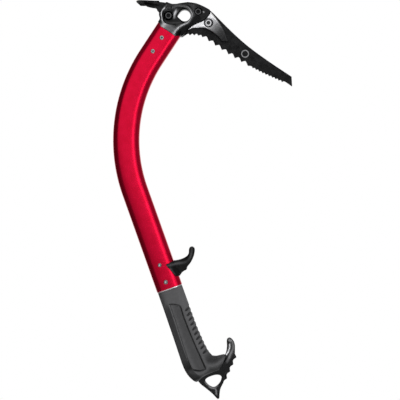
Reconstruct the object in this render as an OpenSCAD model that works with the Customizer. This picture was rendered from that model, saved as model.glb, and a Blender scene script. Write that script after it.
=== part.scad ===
// Ice climbing tool: a bent shaft with a forged head, a toothed pick, an adze and a moulded handle.
// Millimetres, +Z up. The side view lies in the XZ plane and the pick points to +X.
// The origin is the middle of the clip hole in the head.

/* [Shaft] */
// Depth of the shaft, front to back
shaft_depth = 32; // [30:0.5:34]
// Width of the shaft, side to side
shaft_width = 21; // [20:0.5:23]
// Corner radius of the shaft's section
shaft_corner = 8.5; // [7:0.5:9.5]
// Wall of the shaft tube
shaft_wall = 1.6; // [1.2:0.1:2.2]
// Distance of the shaft's upper end behind the clip hole
shaft_top_back = 19.5; // [19:0.1:20.5]
// Distance of the shaft's upper end below the clip hole
shaft_top_drop = 17.4; // [17:0.1:19]
// Lean of the upper straight from upright
lean_top = 33.3; // [31:0.1:36]
// Lean of the lower straight from upright
lean_bottom = 19.6; // [16:0.1:23]
// Bend radius on the centreline
bend_radius = 190; // [170:1:210]
// Length of the straight above the bend
straight_top = 42; // [41:1:50]
// Length of the straight below the bend
straight_bottom = 131; // [110:1:150]

/* [Head] */
// Radius of the clip hole
clip_r = 7.4; // [7:0.1:7.8]
// Radius of the clip hole's narrow end
clip_lobe_r = 2.2; // [2:0.1:2.4]
// Distance from the clip hole's middle to its narrow end
clip_lobe_reach = 7; // [6.6:0.1:7.4]
// Metal left around the clip hole
clip_rim = 2.8; // [2.4:0.1:3.2]
// Width of the dish around the clip hole
clip_dish = 2.4; // [1.6:0.1:2.6]
// Width of the head at its rear cheeks
head_width = 18; // [17:0.5:20]
// Width of the head at its nose
nose_width = 16; // [15:0.5:17]
// Depth of the shallow pocket on each side of the head
pocket_depth = 1.6; // [1:0.1:2]
// Length of full shaft section above the shaft's end
neck_rise = 7; // [5:0.5:8]
// Length of the head's plug in the shaft
head_plug = 39; // [38.5:0.5:40.5]

/* [Pick] */
// Thickness of the pick
pick_thick = 4; // [3:0.1:4.5]
// Pitch of the teeth under the head
near_pitch = 5.3; // [5:0.1:5.6]
// Depth of the teeth under the head
near_depth = 2.5; // [1.5:0.1:3]
// Pitch of the large teeth
large_pitch = 8.2; // [7.8:0.1:8.6]
// Depth of the large teeth
large_depth = 4.8; // [3:0.1:5.5]
// Pitch of the fine teeth
fine_pitch = 4.1; // [3.8:0.1:4.3]
// Depth of the fine teeth
fine_depth = 2.1; // [1:0.1:2.6]

/* [Pick weights] */
// Thickness of each pick weight
weight_thick = 5; // [4.5:0.1:5.6]

/* [Adze] */
// Width of the adze at its cutting edge
adze_width = 40; // [34:1:46]
// Distance that the corners of the adze's cutting edge lie behind its middle
adze_sweep = 4.6; // [2:0.1:6]
// Thickness of the adze at its cutting edge
adze_edge = 0.5; // [0.4:0.1:1]
// Slope of the adze's underside, which thickens it towards the head
adze_slope = 9; // [7:0.5:11]
// Radius of the adze's arch across its width
adze_arch = 150; // [110:5:220]
// Thickness of the adze's tang
adze_tang = 5; // [4:0.1:6]

/* [Fasteners] */
// Radius of the bolts' shanks
bolt_r = 2.5; // [2:0.1:2.8]
// Radius of the bolts' heads
bolt_head_r = 4.4; // [4.1:0.1:4.6]
// Height of the bolts' heads
bolt_head_h = 2.8; // [2.4:0.1:3]
// Across flats of the bolts' sockets
bolt_socket = 4; // [3:0.5:4.5]
// Across flats of the nuts
nut_flats = 8; // [7.4:0.1:8.4]
// Thickness of the nuts
nut_thick = 2.9; // [2.4:0.1:3]
// Radius of the counterbore around the pick bolt
pick_counterbore = 5; // [4.8:0.1:5.4]
// Radius of the counterbore around the adze bolt
adze_counterbore = 5.6; // [4.8:0.1:6]
// Radius of the counterbore around the weight screw
weight_counterbore = 5.5; // [4.8:0.1:5.8]
// Radius of the rivets' shanks
rivet_r = 2.5; // [2:0.1:2.8]
// Radius of the rivets' heads
rivet_head_r = 3.3; // [3:0.1:3.6]
// Height of the rivets' heads outside the shaft
rivet_head_h = 0.6; // [0.4:0.1:0.8]
// Radius of the trigger's pin
trigger_pin_r = 2.2; // [1.8:0.1:2.4]
// Distance of the rivets behind the shaft's centreline
rivet_back = 1.6; // [0:0.1:2.4]
// Distance of the upper head rivet below the shaft's upper end
head_rivet_drop = 14.6; // [12:0.1:16]
// Distance between the two head rivets
head_rivet_pitch = 20.3; // [16:0.1:21]
// Height of the trigger's pin above the shaft's lower end
trigger_pin_rise = 32.9; // [31:0.1:34]
// Height of the handle rivet above the shaft's lower end
handle_rivet_rise = 10.3; // [8:0.1:11]

/* [Trigger] */
// Width of the trigger's hook
trigger_width = 14; // [12:0.5:16]
// Wall of the trigger's saddle beside the shaft
saddle_wall = 1.8; // [1.4:0.1:2.4]
// Width of the stem that enters the shaft
stem_width = 10; // [8:0.5:12]
// Height of the stem that enters the shaft
stem_height = 10; // [8:0.5:11]

/* [Handle] */
// Length of the core's plug in the shaft
plug_length = 15.5; // [14.5:0.1:16]
// Distance from the shaft's lower end to the pommel
handle_length = 100; // [95:1:110]
// Depth of the tang in the grip, front to back
tang_depth = 18; // [14:0.5:20]
// Thickness of the handle core
core_thick = 10; // [8:0.5:12]
// Thickness of the spike at its point
spike_thick = 5; // [4:0.5:6]
// Depth of the groove on each side of the hook
hook_groove = 2; // [1:0.1:2.5]
// Swell of the grip beyond the shaft's side
grip_swell = 2; // [1:0.1:3]
// Pitch of the ribs on the front of the grip
rib_pitch = 6.4; // [6:0.1:6.8]
// Radius of the grooves between the ribs
rib_groove = 1.4; // [1:0.1:1.8]
// Depth of the inlaid side panels
panel_depth = 1.8; // [1.2:0.1:2.4]

/* [Clearances] */
// Clearance of plugs, pockets and the tang
fit_gap = 0.1; // [0.05:0.01:0.15]
// Clearance on each side of a plate in its slot
slot_gap = 0.05; // [0.03:0.01:0.1]
// Clearance of shanks in their holes
shank_gap = 0.06; // [0.03:0.01:0.1]
// Clearance between formed outlines that face each other
form_gap = 0.35; // [0.3:0.05:0.5]

/* [Hidden] */
$fn = 64;

// Reach of cuts that run past the part, and how the shaft's straights lap into its bend
past = 60;
lap = 1;
lap_step = 0.1;

// Directions in the side view, up the shaft and towards its front
up_top = [sin(lean_top), cos(lean_top)];
front_top = [cos(lean_top), -sin(lean_top)];
up_low = [-sin(lean_bottom), cos(lean_bottom)];
front_low = [cos(lean_bottom), sin(lean_bottom)];

// Points of the shaft's centreline in the side view
shaft_top = [-shaft_top_back, -shaft_top_drop];
bend_start = shaft_top - straight_top * up_top;
bend_centre = bend_start + bend_radius * front_top;
bend_end = bend_centre - bend_radius * front_low;
shaft_end = bend_end - straight_bottom * up_low;
neck_rear = shaft_top - shaft_depth / 2 * front_top;
neck_front = shaft_top + shaft_depth / 2 * front_top;

// Middles of the bolts in the side view
pick_bolt_at = [16.8, 4.3];
adze_bolt_at = [-20.5, -0.5];
weight_screw_at = [29.7, -9.6];

// Rivets and pin, along the straight that each one crosses
head_rivet_at = [-rivet_back, -head_rivet_drop];
head_rivet_2_at = head_rivet_at - [0, head_rivet_pitch];
trigger_pin_at = [-rivet_back, trigger_pin_rise];
handle_rivet_at = [-rivet_back, handle_rivet_rise];

// Faces across the width: bolt seats lie on the near side and nut seats on the far side
head_drop = 0.2;
rear_face = head_width / 2 - pocket_depth;
nose_face = nose_width / 2;
weight_inner = pick_thick / 2 + slot_gap;
weight_outer = weight_inner + weight_thick;
sink = bolt_head_h + head_drop;

// Clip hole: a circle that narrows to a small round end
clip_lobe_at = [-clip_lobe_reach, -0.6];
clip_turn = atan2(clip_lobe_at.y, clip_lobe_at.x);
clip_tangent = acos((clip_r - clip_lobe_r) / norm(clip_lobe_at));
clip_tuck = 0.995;

// Slots for the pick and the adze, on each side of the clip hole
slot_front = clip_r + clip_rim;
slot_rear = -(clip_lobe_reach + clip_lobe_r + clip_rim);
slot_floor = -9.3;
slot_corner = [slot_front, -2.5];
slot_heel = neck_front + [3.2, 2];

// Outlines are lists of [x, z, share]: share is the part of each side that a corner's curve takes
function flat(p) = [p.x, p.y];
function curve(a, b, c, steps) = [
    for (s = [0 : steps])
        let (t = s / steps)
            (1 - t) * (1 - t) * a + 2 * t * (1 - t) * b + t * t * c
];
function soft(points, steps = 5) = [
    for (i = [0 : len(points) - 1])
        let (
            p = flat(points[i]),
            share = points[i].z,
            last = flat(points[(i + len(points) - 1) % len(points)]),
            next = flat(points[(i + 1) % len(points)])
        )
            each share == 0 ? [p] : curve(p + share * (last - p), p, p + share * (next - p), steps)
];
function shift(points, by) = [for (p = points) [p.x + by.x, p.y + by.y, p.z]];
function on_circle(r, turn) = r * [cos(turn), sin(turn)];

// Nose of the head, which the pick weights follow
nose_edge = [[30.8, 1.5, 0.45], [24, -6.6, 0.45], [10, -11.5, 0.45]];
head_outline = soft(concat(
    [
        [neck_rear.x, neck_rear.y, 0],
        [-29.3, -5, 0.3],
        [-30.9, 2.6, 0.4],
        [-27, 10, 0.4],
        [-23.4, 17, 0.2],
        [-15, 13.4, 0.45],
        [-5, 16, 0.45],
        [7.5, 18.4, 0.45],
        [19, 15, 0.45],
        [31.8, 7.4, 0.2]
    ],
    nose_edge,
    [
        [0.5, -21.5, 0.4],
        [-2, -26, 0.2],
        [neck_front.x, neck_front.y, 0]
    ]
));
pocket_outline = soft([
    [-27.6, -4, 0.4],
    [-28.4, 3, 0.4],
    [-24.4, 9.6, 0.4],
    [-20, 13, 0.4],
    [-14, 10.6, 0.45],
    [-4, 12.6, 0.45],
    [6, 12.4, 0.45],
    [slot_front - 0.4, 5, 0.45],
    [slot_front - 0.4, -3.5, 0.45],
    [4, -8, 0.4],
    [-2, -10.5, 0.4],
    [-10, -11.8, 0.4],
    [-20, -11.8, 0.4],
    [-26, -9, 0.4]
]);
bolt_pocket_r = 7.6;
bolt_pocket_depth = 1;

// Pick: tips of the teeth lie on a line, and each row of teeth starts a step after the last
tooth_line = [
    [0, -24.3], [16, -24.4], [22.2, -26.6], [30.2, -31.7],
    [55, -48.4], [79.4, -62.7], [98.5, -72.5], [125, -84.4]
];
tooth_lean = 0.34;
near_count = 4;
near_start = 6.3;
large_count = 7;
large_start = near_start + (near_count - 1) * near_pitch + 8;
fine_start = large_start + (large_count - 1) * large_pitch + 6.2;
fine_end = 122.6;
fine_count = floor((fine_end - fine_start) / fine_pitch) + 1;
function tooth(x, pitch, depth) =
    let (root = x - tooth_lean * pitch)
        [[x, lookup(x, tooth_line), 0], [root, lookup(root, tooth_line) + depth, 0.3]];
function tooth_row(start, count, pitch, depth) = [
    for (i = [count - 1 : -1 : 0])
        each tooth(start + i * pitch, pitch, depth)
];
pick_heel = [slot_heel.x + form_gap, -26.3];
pick_outline = soft(concat(
    [
        [slot_front + form_gap, slot_corner.y, 0],
        [slot_front + form_gap, 14.6, 0.1],
        [18.1, 13.2, 0.3],
        [32, 7, 0.2],
        [58, -19.5, 0.45],
        [80, -39.3, 0.45],
        [108, -59.3, 0.45],
        [134.4, -76.7, 0.02],
        [135.1, -88.8, 0],
        [125.4, -82, 0.3]
    ],
    tooth_row(fine_start, fine_count, fine_pitch, fine_depth),
    tooth_row(large_start, large_count, large_pitch, large_depth),
    tooth_row(near_start, near_count, near_pitch, near_depth),
    [
        [pick_heel.x, pick_heel.y, 0],
        [pick_heel.x, slot_heel.y, 0]
    ]
), 4);

weight_outline = soft(concat(
    [[32.6, 4.6, 0]],
    shift(nose_edge, form_gap * [1, -1]),
    [
        [4.4, -18.4, 0.05],
        [9, -15, 0.4],
        [24, -13.9, 0.45],
        [34.5, -20.4, 0.45],
        [43, -27.6, 0.4],
        [46.2, -32.6, 0.1],
        [55.6, -32.6, 0.1],
        [49.8, -19, 0.45],
        [41.8, -7, 0.45]
    ]
));

// Adze: an arched blade with its underside sloping to the cutting edge, on a flat tang
adze_top = 18.2;
adze_tip = -61.4;
adze_neck_width = 17;
adze_plan = soft([
    [-32, adze_neck_width / 2, 0],
    [-39, adze_neck_width / 2, 0.45],
    [-52, adze_width * 0.45, 0.4],
    [adze_tip + adze_sweep, adze_width / 2, 0.15],
    [adze_tip - adze_sweep / 5, 0, 0.45],
    [adze_tip + adze_sweep, -adze_width / 2, 0.15],
    [-52, -adze_width * 0.45, 0.4],
    [-39, -adze_neck_width / 2, 0.45],
    [-32, -adze_neck_width / 2, 0]
]);
tang_outline = soft([
    [-52, 16, 0],
    [-31.5, 17.4, 0.3],
    [-23.4, 16.2, 0.3],
    [-16, 12.7, 0.3],
    [slot_rear - form_gap, 12.2, 0.1],
    [slot_rear - form_gap, slot_floor + form_gap, 0.05],
    [-30.4, slot_floor + form_gap, 0.1],
    [-29.9, -4.4, 0.3],
    [-32.2, 2, 0.3],
    [-32.4, 4.6, 0.3],
    [-34.6, 6.4, 0.4],
    [-35.6, 9.6, 0.4],
    [-41, 10.2, 0.3],
    [-48, 11.8, 0.3]
]);

// Trigger, in the frame of the shaft's lower end
hook_outline = soft([
    [14, 32.4, 0],
    [26, 30.4, 0.45],
    [36.5, 32, 0.45],
    [40, 40.6, 0.3],
    [44.4, 41.8, 0.45],
    [47.2, 37.6, 0.4],
    [43, 29.4, 0.45],
    [36, 22.4, 0.45],
    [30, 19.2, 0.4],
    [28.4, 15.8, 0.3],
    [22.5, 15.2, 0.4],
    [18, 11.8, 0.2],
    [14, 11.8, 0]
]);
saddle_outline = soft([
    [5.2, 31.6, 0.3],
    [12, 31.6, 0.2],
    [22, 32.6, 0],
    [22, 11.8, 0],
    [15.5, 11.8, 0.3],
    [10, 14.2, 0.4],
    [7.2, 20, 0.4]
]);
stem_foot = [22, 19.6];
stem_turn = atan2(stem_foot.y - trigger_pin_at.y, stem_foot.x - trigger_pin_at.x);

// Pommel of the handle core: heights are counted from the handle's length below the shaft's lower end
function pommel(points) = soft(shift(points, [0, -handle_length]));
tang_lap = 0.5;
serration_count = 4;
serration_tip = [50.4, -9];
serration_step = [-6.7, -7.05];
serration_roots = [[-4.9, -1.2], [-6.3, -3.5]];
serrations = [
    for (i = [0 : serration_count - 1])
        let (tip = serration_tip + i * serration_step)
            each concat([[tip.x, tip.y, 0]], [for (r = serration_roots) [tip.x + r.x, tip.y + r.y, 0.3]])
];
pommel_outline = pommel(concat(
    [
        [tang_depth / 2, 8, 0],
        [14, -2, 0.4],
        [26, -5, 0.45],
        [37.5, -3, 0.45],
        [43.4, 6.6, 0.45],
        [46, 16.6, 0.4],
        [51.4, 17.4, 0.45],
        [54.6, 9, 0.45],
        [51, -1.2, 0.45],
        [49.6, -4.4, 0.3]
    ],
    serrations,
    [
        [17.6, -39.6, 0.45],
        [14.4, -46, 0.4],
        [12.6, -50.8, 0.3],
        [10, -51.2, 0.3],
        [5.6, -40.4, 0.4],
        [-4.4, -24.6, 0.3],
        [-7, -14, 0.4],
        [-tang_depth / 2, 0, 0]
    ]
));
spike_hole_outline = pommel([
    [2.4, -22.4, 0.45],
    [9, -20.2, 0.45],
    [20, -20.8, 0.45],
    [25.4, -25, 0.45],
    [20.6, -32.4, 0.45],
    [11, -36.4, 0.45],
    [5, -30.6, 0.45]
]);
hook_groove_outline = pommel([
    [48.2, 13, 0.45],
    [50.4, 9.6, 0.45],
    [48.2, 2, 0.45],
    [43, -6, 0.45],
    [40.4, -4.6, 0.45],
    [45.6, 4.4, 0.45]
]);
spike_taper_start = -handle_length - 26;
spike_point = -handle_length - 51.2;

// Grip: stations of [height, swell of the back, swell of the front, swell of each side] beyond the shaft,
// the first ones counted from the shaft's lower end and the others from the pommel
grip_stations = concat(
    [
        [0, 0, 0, 0.15],
        [-6, 0, 0, 0.6],
        [-26, 0, 0.1, 1],
        [-58, 0.4, 0.5, 1]
    ],
    [
        for (s = [
            [20, 0.8, 2.2, 1],
            [8, 1.1, 4, 1],
            [2.6, 1, 6.4, 1],
            [0.6, 0.9, 11, 1],
            [-0.2, 0.8, 18, 1],
            [-1, 0.7, 22.4, 0.95],
            [-3, 0.5, 22.4, 0.9],
            [-6, 0, 20.2, 0.75],
            [-9.7, -0.9, 17.4, 0.6],
            [-13.7, -2.2, 14, 0.3],
            [-17, -4, 11, -0.25],
            [-18, -4.6, -7, -0.5],
            [-19.7, -6, -15, -1],
            [-21.5, -8.4, -18, -2],
            [-22.4, -10.5, -20, -3]
        ])
            s - [handle_length, 0, 0, 0]
    ]
);
grip_corner = 9.5;
ring_steps = 7;
rib_count = 9;
rib_start = -28.7;
rib_reach = 6;
rib_rise = -2.8;
function grip_ring(s) =
    let (
        back = -shaft_depth / 2 - s[1],
        front = shaft_depth / 2 + s[2],
        half = shaft_width / 2 + grip_swell * s[3],
        r = min(grip_corner, 0.9 * half, 0.45 * (front - back)),
        centres = [[front - r, half - r], [back + r, half - r], [back + r, r - half], [front - r, r - half]]
    )
        [
            for (q = [0 : 3], i = [0 : ring_steps])
                let (p = centres[q] + on_circle(r, 90 * (q + i / ring_steps)))
                    [p.x, p.y, s[0]]
        ];
panel_outline = soft(concat(
    [
        [-6.6, -36, 0.4],
        [-6.6, -17.6, 0.2],
        [-0.8, -20, 0.3],
        [5.4, -25.4, 0.4],
        [4.8, -40, 0.4],
        [6, -70, 0.45]
    ],
    shift([
        [8.8, -8.4, 0.06],
        [1.6, -8.8, 0.4],
        [-7.4, -3.6, 0.2],
        [-8.4, 18, 0.45]
    ], [0, -handle_length])
));
panel_floor = shaft_width / 2 + grip_swell - panel_depth;

// Frames: the ends of the shaft, with X towards its front and Z up its axis
module neck_frame() translate([shaft_top.x, 0, shaft_top.y]) rotate([0, lean_top, 0]) children();
module handle_frame() translate([shaft_end.x, 0, shaft_end.y]) rotate([0, -lean_bottom, 0]) children();

// Side view outlines given a thickness across the part
module between(y0, y1) translate([0, y1, 0]) rotate([90, 0, 0]) linear_extrude(y1 - y0) children();
module slab(thick) between(-thick / 2, thick / 2) children();
module both_sides(y0, y1) {
    between(y0, y1) children();
    between(-y1, -y0) children();
}
module cross_hole(at, r, y0 = -past, y1 = past) between(y0, y1) translate(at) circle(r);
module hexagon(flats) circle(r = flats / sqrt(3), $fn = 6);

module shaft_section(grow) {
    depth = shaft_depth + 2 * grow;
    width = shaft_width + 2 * grow;
    r = shaft_corner + grow;
    square([depth - 2 * r, width], center = true);
    square([depth, width - 2 * r], center = true);
    for (x = [-1, 1], y = [-1, 1]) {
        translate([x * (depth / 2 - r), y * (width / 2 - r)]) circle(r);
    }
}

// The straights lap into the bend, which is a hair over size so that they stay inside it
module shaft_sweep(grow, over) {
    neck_frame() translate([0, 0, -straight_top - lap])
        linear_extrude(straight_top + lap + over) shaft_section(grow);
    translate([bend_centre.x, 0, bend_centre.y]) rotate([90, 0, 0])
        rotate_extrude(angle = lean_top + lean_bottom, start = 180 - lean_top)
            translate([bend_radius, 0]) shaft_section(grow + lap_step);
    handle_frame() translate([0, 0, -over])
        linear_extrude(straight_bottom + lap + over) shaft_section(grow);
}

// Bolt with its head towards -Y, its seat at y = seat and its end at y = tip
module bolt(at, seat, tip) {
    socket_depth = 0.6 * bolt_head_h;
    chamfer = 0.7;
    translate([at.x, seat, at.y]) rotate([90, 0, 0]) difference() {
        union() {
            translate([0, 0, seat - tip]) cylinder(r = bolt_r, h = tip - seat + bolt_head_h / 2);
            translate([0, 0, slot_gap]) cylinder(r = bolt_head_r, h = bolt_head_h - chamfer - slot_gap);
            translate([0, 0, bolt_head_h - chamfer])
                cylinder(r1 = bolt_head_r, r2 = bolt_head_r - chamfer, h = chamfer);
        }
        translate([0, 0, bolt_head_h - socket_depth]) linear_extrude(bolt_head_h) hexagon(bolt_socket);
    }
}

// Nut on the far side, standing on y = seat
module nut(at, seat) {
    between(seat, seat + nut_thick) translate(at) difference() {
        hexagon(nut_flats);
        circle(bolt_r + shank_gap);
    }
}

// Room for a bolt and its nut in what they clamp
module bolt_room(at, counterbore, seat) {
    cross_hole(at, bolt_r + shank_gap);
    cross_hole(at, counterbore, -past, -seat);
    between(seat, past) translate(at) hexagon(nut_flats + 2 * fit_gap);
}

// Rivet across the shaft, with a low head on each side
module rivet(at, r) {
    half = shaft_width / 2;
    between(-half, half) translate(at) circle(r);
    for (side = [-90, 90]) {
        translate([at.x, -half * sign(side), at.y]) rotate([side, 0, 0])
            cylinder(r1 = r + rivet_head_r - rivet_r, r2 = r, h = rivet_head_h);
    }
}

module clip_hole() {
    cross_hole([0, 0], clip_r);
    cross_hole(clip_lobe_at, clip_lobe_r);
    slab(2 * past) polygon([
        clip_tuck * on_circle(clip_r, clip_turn - clip_tangent),
        clip_lobe_at + clip_tuck * on_circle(clip_lobe_r, clip_turn - clip_tangent),
        clip_lobe_at + clip_tuck * on_circle(clip_lobe_r, clip_turn + clip_tangent),
        clip_tuck * on_circle(clip_r, clip_turn + clip_tangent)
    ]);
    for (side = [-90, 90]) {
        translate([0, -rear_face * sign(side), 0]) rotate([-side, 0, 0])
            cylinder(r1 = clip_r + clip_dish, r2 = clip_r, h = clip_dish);
        translate([clip_lobe_at.x, -rear_face * sign(side), clip_lobe_at.y]) rotate([-side, 0, 0])
            cylinder(r1 = clip_lobe_r + clip_dish, r2 = clip_lobe_r, h = clip_dish);
    }
}

module head() color("dimgray") difference() {
    union() {
        slab(nose_width) polygon(head_outline);
        slab(head_width) intersection() {
            polygon(head_outline);
            translate([slot_front - 2 * past, -past]) square(2 * past);
        }
        neck_frame() linear_extrude(neck_rise) shaft_section(0);
        neck_frame() translate([0, 0, -head_plug])
            linear_extrude(head_plug + neck_rise / 2) shaft_section(-shaft_wall - fit_gap);
    }
    both_sides(rear_face, past) polygon(pocket_outline);
    both_sides(rear_face - bolt_pocket_depth, past) translate(adze_bolt_at) circle(bolt_pocket_r);
    slab(pick_thick + 2 * slot_gap) polygon([
        [slot_front, past],
        slot_corner,
        slot_heel,
        [slot_heel.x, -past],
        [2 * past, -past],
        [2 * past, past]
    ]);
    slab(adze_tang + 2 * slot_gap) polygon([
        [slot_rear, past],
        [slot_rear, slot_floor],
        [-past, slot_floor],
        [-past, past]
    ]);
    clip_hole();
    bolt_room(pick_bolt_at, pick_counterbore, nose_face - sink);
    bolt_room(adze_bolt_at, adze_counterbore, rear_face - sink);
    neck_frame() {
        cross_hole(head_rivet_at, rivet_r + shank_gap);
        cross_hole(head_rivet_2_at, rivet_r + shank_gap);
    }
}

module pick() color("#1c1c1e") difference() {
    slab(pick_thick) polygon(pick_outline);
    cross_hole(pick_bolt_at, bolt_r + shank_gap);
    cross_hole(weight_screw_at, bolt_r + shank_gap);
}

module adze() color("#222224") difference() {
    union() {
        intersection() {
            linear_extrude(2 * adze_top) polygon(adze_plan);
            difference() {
                translate([adze_tip - past, 0, adze_top - adze_arch])
                    rotate([0, 90, 0]) cylinder(r = adze_arch, h = 2 * past, $fn = 128);
                translate([adze_tip, 0, adze_top - adze_edge]) rotate([0, adze_slope, 0])
                    translate([-past, 0, -adze_arch])
                        rotate([0, 90, 0]) cylinder(r = adze_arch, h = 3 * past, $fn = 128);
            }
        }
        slab(adze_tang) polygon(tang_outline);
    }
    cross_hole(adze_bolt_at, bolt_r + shank_gap);
}

module pick_bolt() color("#2a2a2c") bolt(pick_bolt_at, sink - nose_face, nose_face - head_drop);
module pick_nut() color("#8a8a8c") nut(pick_bolt_at, nose_face - sink);
module adze_bolt() color("#2a2a2c") bolt(adze_bolt_at, sink - rear_face, rear_face - head_drop);
module adze_nut() color("#8a8a8c") nut(adze_bolt_at, rear_face - sink);
module weight_screw() color("#c8c8ca") bolt(weight_screw_at, sink - weight_outer, weight_outer - head_drop);
module weight_nut() color("#8a8a8c") nut(weight_screw_at, weight_outer - sink);

module weight_left() color("#d4d4d6") difference() {
    between(-weight_outer, -weight_inner) polygon(weight_outline);
    bolt_room(weight_screw_at, weight_counterbore, weight_outer - sink);
}

module weight_right() color("#d4d4d6") difference() {
    between(weight_inner, weight_outer) polygon(weight_outline);
    bolt_room(weight_screw_at, weight_counterbore, weight_outer - sink);
}

module head_rivet_upper() color("silver") neck_frame() rivet(head_rivet_at, rivet_r);
module head_rivet_lower() color("silver") neck_frame() rivet(head_rivet_2_at, rivet_r);
module trigger_pin() color("silver") handle_frame() rivet(trigger_pin_at, trigger_pin_r);
module handle_rivet() color("silver") handle_frame() rivet(handle_rivet_at, rivet_r);

// Stem of the trigger, from its saddle slanting up into the shaft to the cross pin
module stem(grow) slab(stem_width + 2 * grow) {
    translate(trigger_pin_at) circle(stem_height / 2 + grow);
    translate(trigger_pin_at) rotate(stem_turn) translate([0, -stem_height / 2 - grow])
        square([norm(stem_foot - trigger_pin_at), stem_height + 2 * grow]);
}

module shaft() color("#d60f38") difference() {
    shaft_sweep(0, 0);
    shaft_sweep(-shaft_wall, 1);
    neck_frame() {
        cross_hole(head_rivet_at, rivet_r + shank_gap);
        cross_hole(head_rivet_2_at, rivet_r + shank_gap);
    }
    handle_frame() {
        cross_hole(trigger_pin_at, trigger_pin_r + shank_gap);
        cross_hole(handle_rivet_at, rivet_r + shank_gap);
        stem(fit_gap);
    }
}

module trigger() color("#18181a") handle_frame() difference() {
    union() {
        difference() {
            union() {
                slab(trigger_width) polygon(hook_outline);
                intersection() {
                    slab(2 * past) polygon(saddle_outline);
                    linear_extrude(past) shaft_section(saddle_wall + form_gap);
                }
            }
            linear_extrude(past) shaft_section(form_gap);
        }
        stem(0);
    }
    cross_hole(trigger_pin_at, trigger_pin_r + shank_gap);
}

// Side view of the handle core below the shaft
module core_plate() {
    translate([-tang_depth / 2, -handle_length - tang_lap]) square([tang_depth, handle_length + tang_lap]);
    polygon(pommel_outline);
}

module handle_core() color("#202022") handle_frame() difference() {
    union() {
        linear_extrude(plug_length) shaft_section(-shaft_wall - fit_gap);
        slab(core_thick) core_plate();
    }
    slab(2 * past) polygon(spike_hole_outline);
    both_sides(core_thick / 2 - hook_groove, past) polygon(hook_groove_outline);
    for (y = [0, 1]) mirror([0, y, 0]) {
        translate([-past, 0, 0]) rotate([90, 0, 90]) linear_extrude(2 * past) polygon([
            [core_thick / 2, spike_taper_start],
            [spike_thick / 2, spike_point],
            [spike_thick / 2, spike_point - past],
            [core_thick, spike_point - past],
            [core_thick, spike_taper_start]
        ]);
    }
    cross_hole(handle_rivet_at, rivet_r + shank_gap);
}

module grip_body() {
    rings = [for (s = grip_stations) each grip_ring(s)];
    sides = 4 * (ring_steps + 1);
    last = len(grip_stations) - 1;
    polyhedron(
        points = rings,
        faces = concat(
            [[for (i = [sides - 1 : -1 : 0]) i]],
            [[for (i = [0 : sides - 1]) last * sides + i]],
            [
                for (k = [0 : last - 1], i = [0 : sides - 1])
                    let (j = (i + 1) % sides)
                        each [
                            [k * sides + i, k * sides + j, (k + 1) * sides + j],
                            [k * sides + i, (k + 1) * sides + j, (k + 1) * sides + i]
                        ]
            ]
        )
    );
}

module grip() color("#4c4c4e") handle_frame() difference() {
    grip_body();
    slab(core_thick + 2 * fit_gap) offset(delta = fit_gap) core_plate();
    both_sides(panel_floor, past) offset(delta = fit_gap) polygon(panel_outline);
    for (i = [0 : rib_count], side = [-1, 1]) {
        u = rib_start - i * rib_pitch;
        front = shaft_depth / 2 + lookup(-u, [for (s = grip_stations) [-s[0], s[2]]]);
        hull() {
            translate([front + rib_groove / 2, 0, u]) sphere(rib_groove, $fn = 12);
            translate([front - rib_reach, side * (shaft_width / 2 + grip_swell + rib_groove / 2), u + rib_rise])
                sphere(rib_groove, $fn = 12);
        }
    }
}

module grip_panel(y0, y1) color("#3c3c3e") handle_frame() intersection() {
    grip_body();
    between(y0, y1) polygon(panel_outline);
}
module grip_panel_left() grip_panel(-past, -panel_floor);
module grip_panel_right() grip_panel(panel_floor, past);

head();
pick();
pick_bolt();
pick_nut();
adze();
adze_bolt();
adze_nut();
weight_left();
weight_right();
weight_screw();
weight_nut();
head_rivet_upper();
head_rivet_lower();
shaft();
trigger();
trigger_pin();
handle_core();
handle_rivet();
grip();
grip_panel_left();
grip_panel_right();
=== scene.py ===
"""Dresses the ice climbing tool: shaped pieces, procedural finishes, studio and camera."""
import math

import bpy
import numpy as np
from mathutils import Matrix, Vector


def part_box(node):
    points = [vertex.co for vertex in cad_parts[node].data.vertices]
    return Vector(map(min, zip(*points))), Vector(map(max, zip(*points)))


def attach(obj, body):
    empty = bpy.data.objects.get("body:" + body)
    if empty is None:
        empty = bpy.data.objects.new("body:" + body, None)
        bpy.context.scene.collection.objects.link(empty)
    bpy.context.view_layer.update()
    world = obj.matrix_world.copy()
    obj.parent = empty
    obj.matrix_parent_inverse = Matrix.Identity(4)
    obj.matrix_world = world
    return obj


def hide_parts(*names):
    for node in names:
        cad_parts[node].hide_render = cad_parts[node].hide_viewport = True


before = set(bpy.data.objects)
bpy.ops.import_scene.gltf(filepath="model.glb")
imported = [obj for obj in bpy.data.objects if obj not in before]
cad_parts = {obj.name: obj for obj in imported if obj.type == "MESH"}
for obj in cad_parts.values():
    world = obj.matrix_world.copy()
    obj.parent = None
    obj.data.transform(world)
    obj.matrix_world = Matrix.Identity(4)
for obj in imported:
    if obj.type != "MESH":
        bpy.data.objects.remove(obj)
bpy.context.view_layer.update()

import openvdb
from mathutils import Vector

# Units: fields and outlines are in millimetres, Blender objects in metres
MM = 0.001

# Camera, from the photograph's frame: width of the view at the tool's middle plane and its centre
VIEW_WIDTH = 0.504
VIEW_CENTRE = (0.01915, -0.23197)
CAMERA_DISTANCE = 1.6
SENSOR = 36.0

# Shaft, as in the CAD model
RIVET_BACK = 1.6
HEAD_RIVET_DROP = 14.6
HANDLE_RIVET_RISE = 10.3
STRAIGHT_TOP = 42.0
STRAIGHT_BOTTOM = 131.0
SHAFT_DEPTH = 32.0
SHAFT_WIDTH = 21.0
SHAFT_WALL = 1.6
SHAFT_POWER = 3.0

# How much deeper than in the CAD model the shaft is drawn at its front and its back, from the photograph
SHAFT_SWELL = 0.6

# How far the head's neck reaches down on the shaft's broad faces
APRON_REACH = 3.4

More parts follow.
